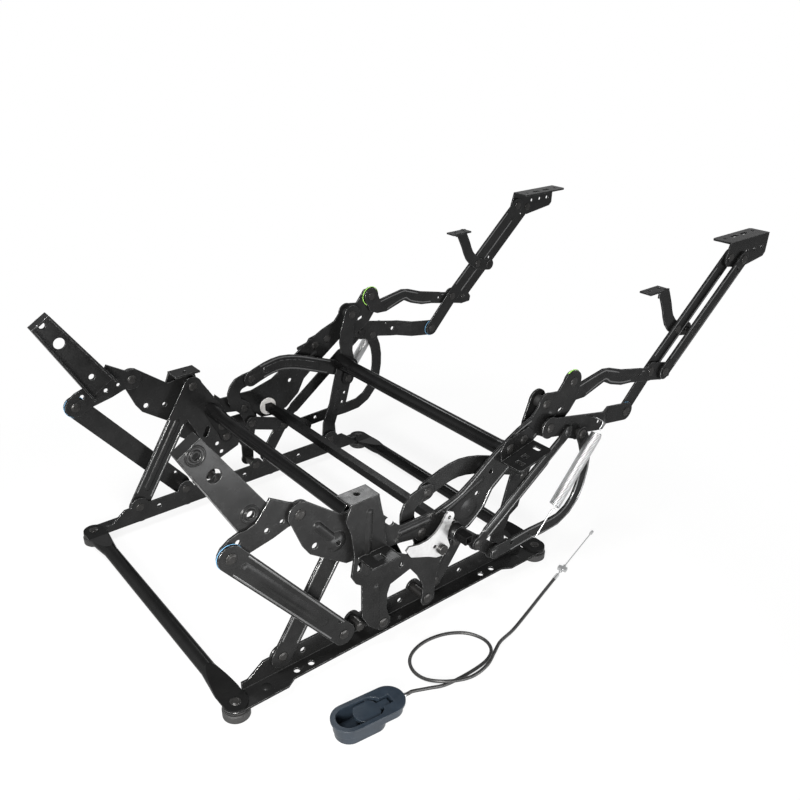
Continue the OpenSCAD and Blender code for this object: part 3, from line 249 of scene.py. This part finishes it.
# Nodes of each finish. Other rivets are rivet steel, and all else is black steel.
NODES_OF = {
    "pad_rubber": ["foot_pads"],
    "black_nylon": ["seat_spacers"],
    "green_nylon": ["seat_washers"],
    "blue_nylon": ["back_washers", "arm_washers"],
    "white_nylon": ["shaft_bushes"],
    "zinc_plate": ["latch_lever"],
    "rivet_steel": ["latch_bolt", "base_studs"],
    "spring_steel": ["springs", "cable_ferrules", "cable_clip", "cable_wire"],
    "handle_plastic": ["handle_cup", "handle_paddle"],
    "sheath_vinyl": ["cable_sheath"],
    "tube_steel": ["rear_base_tube", "front_base_tube", "rear_leg_tube", "front_leg_tube",
                   "torque_bar"],
}
FINISH_OF = {node: finish for finish, nodes in NODES_OF.items() for node in nodes}


def finish_nodes():
    for node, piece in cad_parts.items():
        usual = "rivet_steel" if node.endswith("_rivets") else "black_steel"
        piece.data.materials.clear()
        piece.data.materials.append(FINISHES[FINISH_OF.get(node, usual)])


finish_nodes()


# New pieces
STEPS_PER_SPAN = 6


def through_points(points):
    """Smooth run of points through the given ones, in metres."""
    pts = [Vector(p) * MM for p in points]
    run = []
    for i in range(len(pts) - 1):
        a, b, c, d = pts[max(i - 1, 0)], pts[i], pts[i + 1], pts[min(i + 2, len(pts) - 1)]
        for k in range(STEPS_PER_SPAN):
            t = k / STEPS_PER_SPAN
            run.append(0.5 * (2 * b + (c - a) * t + (2 * a - 5 * b + 4 * c - d) * t * t
                              + (3 * b - a - 3 * c + d) * t * t * t))
    return run + [pts[-1]]


def add_piece(name, data, body, finish):
    piece = bpy.data.objects.new(name, data)
    scene.collection.objects.link(piece)
    data.materials.append(FINISHES[finish])
    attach(piece, body)
    return piece


def round_line(name, points, radius, rounding=3, closed=False):
    """Round bar along a run of points."""
    line = bpy.data.curves.new(name, "CURVE")
    line.dimensions = "3D"
    line.bevel_depth = radius * MM
    line.bevel_resolution = rounding
    line.use_fill_caps = True
    spline = line.splines.new("POLY")
    spline.points.add(len(points) - 1)
    spline.use_cyclic_u = closed
    for point, place in zip(spline.points, points):
        point.co = (*place, 1)
    return line


def mesh_of(bm, name):
    mesh = bpy.data.meshes.new(name)
    bm.to_mesh(mesh)
    bm.free()
    return mesh


# Release cable: the sheath's route on the floor, as its solid has it
SHEATH_R = 2.5
LIE_Z = FLOOR_Z + SHEATH_R + 0.2
OVER_Z = LIE_Z + 2 * SHEATH_R + 0.8
CUP_AT = Vector((-151, -354, 3))
CUP_TURN = math.radians(-6)
CUP_DIR = Vector((math.cos(CUP_TURN), math.sin(CUP_TURN), 0))
CABLE_OUT = CUP_AT + 56 * CUP_DIR
ROUTE = [
    CABLE_OUT, CABLE_OUT + 6 * CUP_DIR, CABLE_OUT + 12 * CUP_DIR, (-58, -364, -5),
    (-30, -367, LIE_Z + 1), (10, -369.5, LIE_Z), (45, -367, LIE_Z), (66, -356, LIE_Z),
    (73, -336, LIE_Z), (64, -312, LIE_Z), (44, -296, LIE_Z), (20, -288, LIE_Z),
    (-4, -287, LIE_Z), (-26, -293, LIE_Z), (-41, -305, LIE_Z), (-48, -323, LIE_Z),
    (-46, -343, LIE_Z + 2), (-36, -361, OVER_Z), (-18, -373, OVER_Z), (8, -379, LIE_Z + 3),
    (38, -376, LIE_Z + 3), (62, -366, OVER_Z), (84, -356, OVER_Z), (120, -346, LIE_Z),
    (160, -334, LIE_Z), (210, -318, LIE_Z), (242, -308, LIE_Z), (258, -303, LIE_Z)]


def release_cable():
    run = through_points(ROUTE)
    cable = add_piece("release_cable", round_line("release_cable", run, SHEATH_R, rounding=4),
                      "base", "sheath_vinyl")
    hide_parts("cable_sheath")


release_cable()


# Plate layers, from the middle outwards
PLATE_T = 3.0
HALF_GAP = 0.75
Y_LEG, Y_DRIVE, Y_CRANK, Y_BACK, Y_SEAT = 226.5, 231.0, 235.5, 240.0, 244.5
Y_LIFT, Y_STRAP = 258.0, 262.5

# Extension springs: one wire each, wound by a screw sweep of its round section
SPRING_LOW = Vector((230, 0, 63)) * MM
SPRING_HIGH = Vector((360, 0, 223)) * MM
SPRING_Y = 278 * MM
LOW_HOOK_Y = Y_STRAP * MM
HIGH_HOOK_Y = 257.1 * MM
COIL_R = 8 * MM
COIL_PITCH = 2.21 * MM
COIL_TURNS = 57
COIL_WIRE_R = 1.1 * MM
TOP_SHANK = 22 * MM
WIRE_SIDES = 8
STEPS_PER_TURN = 20


def wire_ring(bm, centre, heading, side_dir):
    """Round section of the wire at a point, square to its heading."""
    other = heading.cross(side_dir).normalized()
    turn = Matrix((side_dir, other, heading)).transposed().to_4x4()
    made = bmesh.ops.create_circle(bm, segments=WIRE_SIDES, radius=COIL_WIRE_R, cap_ends=False,
                                   matrix=Matrix.Translation(centre) @ turn)
    return made["verts"]


def bridge(bm, ring_a, ring_b):
    edges = []
    for ring in (ring_a, ring_b):
        loop = set(ring)
        edges += list({e for v in ring for e in v.link_edges if set(e.verts) <= loop})
    bmesh.ops.bridge_loops(bm, edges=edges)


def hook_run(coil_end, eye, along, outward, way, depth):
    """Places and headings of a hook's wire, from the coil to its end in the plate."""
    inward = -way * outward
    return [(coil_end + way * along * 4 * MM + outward * COIL_R * 0.55, along),
            (coil_end + way * along * 9 * MM, along),
            (eye - way * along * 4 * MM, along),
            (eye - way * along * 1.2 * MM - outward * 1.2 * MM, (along + inward).normalized()),
            (eye - outward * 4 * MM, inward),
            (eye - outward * depth, inward)]


def spring_mesh(side):
    span = (SPRING_HIGH - SPRING_LOW).length
    along = (SPRING_HIGH - SPRING_LOW).normalized()
    outward = Vector((0, side, 0))
    across = along.cross(outward)
    low_eye = SPRING_LOW + outward * SPRING_Y
    high_eye = low_eye + along * span
    coil_len = COIL_TURNS * COIL_PITCH
    coil_low = low_eye + along * (span - coil_len - TOP_SHANK)
    coil_high = coil_low + along * coil_len
    bm = bmesh.new()
    heading = (across * 2 * math.pi * COIL_R + along * COIL_PITCH).normalized()
    first = wire_ring(bm, coil_low + outward * COIL_R, heading, outward)
    section = list({e for v in first for e in v.link_edges})
    steps = COIL_TURNS * STEPS_PER_TURN
    swept = bmesh.ops.spin(bm, geom=section, cent=coil_low, axis=along,
                           dvec=along * (coil_len / steps), angle=2 * math.pi * COIL_TURNS,
                           steps=steps, use_merge=False, use_duplicate=False)
    last = [g for g in swept["geom_last"] if isinstance(g, bmesh.types.BMVert)]
    low_hook = hook_run(coil_low, low_eye, along, outward, -1, SPRING_Y - LOW_HOOK_Y)
    high_hook = hook_run(coil_high, high_eye, along, outward, 1, SPRING_Y - HIGH_HOOK_Y)
    for ring, hook in ((first, low_hook), (last, high_hook)):
        for place, head in hook:
            fresh = wire_ring(bm, place, head, (across - head * across.dot(head)).normalized())
            bridge(bm, ring, fresh)
            ring = fresh
        bmesh.ops.contextual_create(bm, geom=ring)
    bmesh.ops.recalc_face_normals(bm, faces=bm.faces)
    for face in bm.faces:
        face.smooth = True
    return mesh_of(bm, "extension_spring")


def extension_springs():
    for side, word in SIDES:
        spring = add_piece("extension_spring_" + word, spring_mesh(side), "straps", "spring_steel")
        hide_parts("springs")


extension_springs()


# Pressed rims of the links, along their edges on the faces of each plate, in a light grey finish
# that is painted highlight
RIM_R = 1.6
RIM_H = 0.9
OUTER, INNER = 1, -1


def line_of(*points, start=(0, 0)):
    return [Vector(start) + Vector(p) for p in points]


BACK_LINK, CONTROL = line_of((-266, 231), (-110, 33))
REAR_FOOT, REAR_TOP = line_of((-197, 29), (-74, 218))
LIFT_LOW, LIFT_TOP = line_of((124, 89), (301, 218))
UPPER, LOWER = line_of((314, 291), (262, 234))
UPPER_ARM = Vector((205, -40))
ARM_UP, ARM_LOW = UPPER + UPPER_ARM, LOWER + UPPER_ARM
ARM_LEN = 234
ARM_RISE = math.radians(42.5)
ARM_TOP = ARM_UP + ARM_LEN * Vector((math.cos(ARM_RISE), math.sin(ARM_RISE)))
PAIR = Vector((34, -8))
DRIVE_LINE = line_of((62, 206.5), (70, 209), (101, 213), (136, 206), (178, 190), (205, 179))
STRAP_LINE = line_of((190, 60.5), (230, 63), (296, 64), (332, 90), (345, 136), (342, 176))
SEAT_TOP = line_of((48, 165), (91, 176.5), (121.5, 195), (144.5, 212), (170, 228),
                   (203.5, 244.5), (228, 253))
SEAT_LOW = line_of((241, 228), (175.5, 182), (155, 166.5), (140.5, 141.5), (114, 120.5),
                   (88, 113.5))
UPPER_TOP = line_of((22, -14.5), (74, -5.5), (91, -8.5), (137, -24.5), (184, -33.5), start=UPPER)
UPPER_LOW = line_of((38, -32.5), (80, -19.5), (99, -28.5), (127, -37.5), (150, -40.5), start=UPPER)


def beside(line, offset):
    """The line moved sideways, to the left of its direction."""
    moved = []
    for i, point in enumerate(line):
        way = (line[min(i + 1, len(line) - 1)] - line[max(i - 1, 0)]).normalized()
        moved.append(point + offset * Vector((-way.y, way.x)))
    return moved


def both_sides(line, offset):
    return [beside(line, offset), beside(line, -offset)]


def strip_rims(a, b, offset, near, far):
    """Both rims of a straight strip, kept clear of its two eyes."""
    way = (b - a).normalized()
    return both_sides([a + near * way, b - far * way], offset)


def pressed_rims(name, body, lines, layer, face):
    """Rims on the outer or inner face of a plate, left and right."""
    surface = layer + PLATE_T if face == OUTER else layer
    depth = surface - face * (RIM_R - RIM_H)
    for side, word in SIDES:
        for count, line in enumerate(lines, 1):
            run = through_points([(q.x, side * depth, q.y) for q in line])
            title = f"{name}_rim_{word}_{count}"
            # light grey rim finish: painted highlight along the rim
            add_piece(title, round_line(title, run, RIM_R), body, "rim_painted_highlight")


def rims_of_links():
    control = strip_rims(BACK_LINK, CONTROL, offset=14, near=18, far=18)
    legs = strip_rims(REAR_FOOT, REAR_TOP, offset=13.5, near=22, far=66)
    lift = strip_rims(LIFT_LOW, LIFT_TOP, offset=7.2, near=18, far=20)
    upper = [UPPER_TOP, UPPER_LOW]
    outer_arm = strip_rims(ARM_UP + PAIR, ARM_TOP + PAIR, offset=10, near=20, far=20)
    inner_arm = strip_rims(ARM_UP, ARM_TOP, offset=11, near=22, far=30)
    pressed_rims("control_link", "control_links", control, Y_SEAT, OUTER)
    pressed_rims("rear_leg", "rear_legs", legs, Y_LEG, OUTER)
    pressed_rims("rear_leg_inner", "rear_legs", legs, Y_LEG, INNER)
    pressed_rims("lift_link", "lift_links", lift, Y_LIFT, OUTER)
    pressed_rims("seat", "seat", [SEAT_TOP, SEAT_LOW], Y_SEAT, OUTER)
    pressed_rims("upper_link", "upper_links", upper, Y_BACK, OUTER)
    pressed_rims("upper_link_inner", "upper_links", upper, Y_BACK, INNER)
    pressed_rims("outer_arm", "outer_arms", outer_arm, Y_SEAT, OUTER)
    pressed_rims("inner_arm", "inner_arms", inner_arm, Y_CRANK, OUTER)
    pressed_rims("inner_arm_inner", "inner_arms", inner_arm, Y_CRANK, INNER)
    pressed_rims("drive_link_inner", "drive_links", both_sides(DRIVE_LINE, 11), Y_DRIVE, INNER)
    pressed_rims("strap", "straps", both_sides(STRAP_LINE, 8.5), Y_STRAP, OUTER)


rims_of_links()


# Rims of the nylon washers that look out between two eyes
RING_STEP = 10


def washer_rim(name, body, pivot, layer, radius, thick, finish):
    turns = [math.radians(a) for a in range(0, 360, RING_STEP)]
    for side, word in SIDES:
        ring = [Vector((pivot.x + radius * math.cos(t), side * (layer - HALF_GAP),
                        pivot.y + radius * math.sin(t))) * MM for t in turns]
        title = f"{name}_{word}"
        add_piece(title, round_line(title, ring, thick, closed=True), body, finish)


washer_rim("green_rim", "seat", UPPER, Y_SEAT, 17.8, 0.7, "green_nylon")
washer_rim("back_blue_rim", "back", BACK_LINK, Y_SEAT, 17.1, 0.5, "blue_nylon")
washer_rim("arm_blue_rim", "inner_arms", ARM_LOW, Y_BACK, 15.4, 0.6, "blue_nylon")


# Camera at the photograph's place
CAMERA_AT = (-0.600, -0.935, 0.7935)
CAMERA_AIM = (0.116, 0.0, 0.1265)
CAMERA_LENS = 36.75
CAMERA_SHIFT = (0.0429, 0.0667)


def stand(name, data, place, aim):
    """A camera or lamp at its place, turned to what it aims at."""
    holder = bpy.data.objects.new(name, data)
    scene.collection.objects.link(holder)
    holder.location = place
    holder.rotation_mode = "QUATERNION"
    holder.rotation_quaternion = (Vector(aim) - Vector(place)).to_track_quat("-Z", "Y")
    return holder


def add_camera():
    lens = bpy.data.cameras.new("camera")
    lens.sensor_width = 36.0
    lens.lens = CAMERA_LENS
    lens.shift_x, lens.shift_y = CAMERA_SHIFT
    lens.clip_start, lens.clip_end = 0.01, 50.0
    scene.camera = stand("camera", lens, CAMERA_AT, CAMERA_AIM)


add_camera()


# Studio: white floor that keeps the shadow, soft lamps
FLOOR_HALF = 8.0
FLOOR_GAP = 0.0002
FLOOR_LIT, FLOOR_SEEN = grey(0.28), grey(0.85)
FADE_REACH = (0.4, 0.85)
FADE_SHARE = (0.88, 1.0)
WORLD_LIGHT = 0.035
CEILING_RISE = (0.45, 0.75)
CEILING = grey(0.04)


def seen_rays(tree):
    """One for the rays that see, straight or in a mirror, none for the rays that light."""
    rays = tree.nodes.new("ShaderNodeLightPath").outputs
    seen = rays["Is Camera Ray"]
    for other in ("Is Glossy Ray", "Is Transmission Ray"):
        seen = add_node(tree, "ShaderNodeMath", "MAXIMUM", _0=seen, _1=rays[other]).outputs[0]
    return seen


def studio_floor():
    bm = bmesh.new()
    bmesh.ops.create_grid(bm, x_segments=1, y_segments=1, size=FLOOR_HALF,
                          matrix=Matrix.Translation((0, 0, FLOOR_Z * MM - FLOOR_GAP)))
    mesh = mesh_of(bm, "studio_floor")
    floor = bpy.data.objects.new("studio_floor", mesh)
    scene.collection.objects.link(floor)
    paper, tree, shader = new_finish("white_paper", roughness=0.9, specular_ior_level=0.1)
    seen = seen_rays(tree)
    tree.links.new(mix_colour(tree, seen, FLOOR_LIT, FLOOR_SEEN), shader.inputs["Base Color"])
    white = add_node(tree, "ShaderNodeEmission", color=grey(1.0), strength=1.0)
    reach = add_node(tree, "ShaderNodeVectorMath", "LENGTH", _0=object_place(tree))
    fade = map_range(tree, reach.outputs["Value"], *FADE_REACH, *FADE_SHARE)
    mixed = mix_shader(tree, multiply(tree, seen, fade), shader, white)
    tree.links.new(mixed, tree.nodes["Material Output"].inputs["Surface"])
    mesh.materials.append(paper)


def studio_world():
    world = bpy.data.worlds.new("studio")
    scene.world = world
    world.use_nodes = True
    tree = world.node_tree
    tree.nodes.clear()
    lit = add_node(tree, "ShaderNodeBackground", color=(0.94, 0.97, 1.0, 1), strength=WORLD_LIGHT)
    sky = tree.nodes.new("ShaderNodeTexCoord").outputs["Generated"]
    height = add_node(tree, "ShaderNodeSeparateXYZ", _0=sky).outputs["Z"]
    tone = mix_colour(tree, map_range(tree, height, *CEILING_RISE), grey(1.0), CEILING)
    shown = add_node(tree, "ShaderNodeBackground", color=tone, strength=1.0)
    add_node(tree, "ShaderNodeOutputWorld", surface=mix_shader(tree, seen_rays(tree), lit, shown))


def add_lamp(name, place, aim, power, size, colour=(1, 1, 1)):
    lamp = bpy.data.lights.new(name, "AREA")
    lamp.shape = "RECTANGLE"
    lamp.size, lamp.size_y = size
    lamp.energy = power
    lamp.color = colour
    stand(name, lamp, place, aim).visible_camera = False


studio_floor()
studio_world()
add_lamp("overhead", (-0.8, -0.3, 1.8), (0.0, -0.05, 0.1), 38, (0.7, 0.35))
add_lamp("key", (-0.85, -1.0, 0.5), (-0.2, -0.25, 0.2), 29, (0.35, 0.3), (1.0, 0.98, 0.95))
add_lamp("low_near", (0.05, -0.78, 0.05), (-0.18, -0.25, 0.25), 2.9, (0.7, 0.15))
add_lamp("rim", (0.95, 1.15, 1.4), (0.1, 0, 0.2), 8, (0.3, 0.3))

scene.view_settings.view_transform = "Standard"
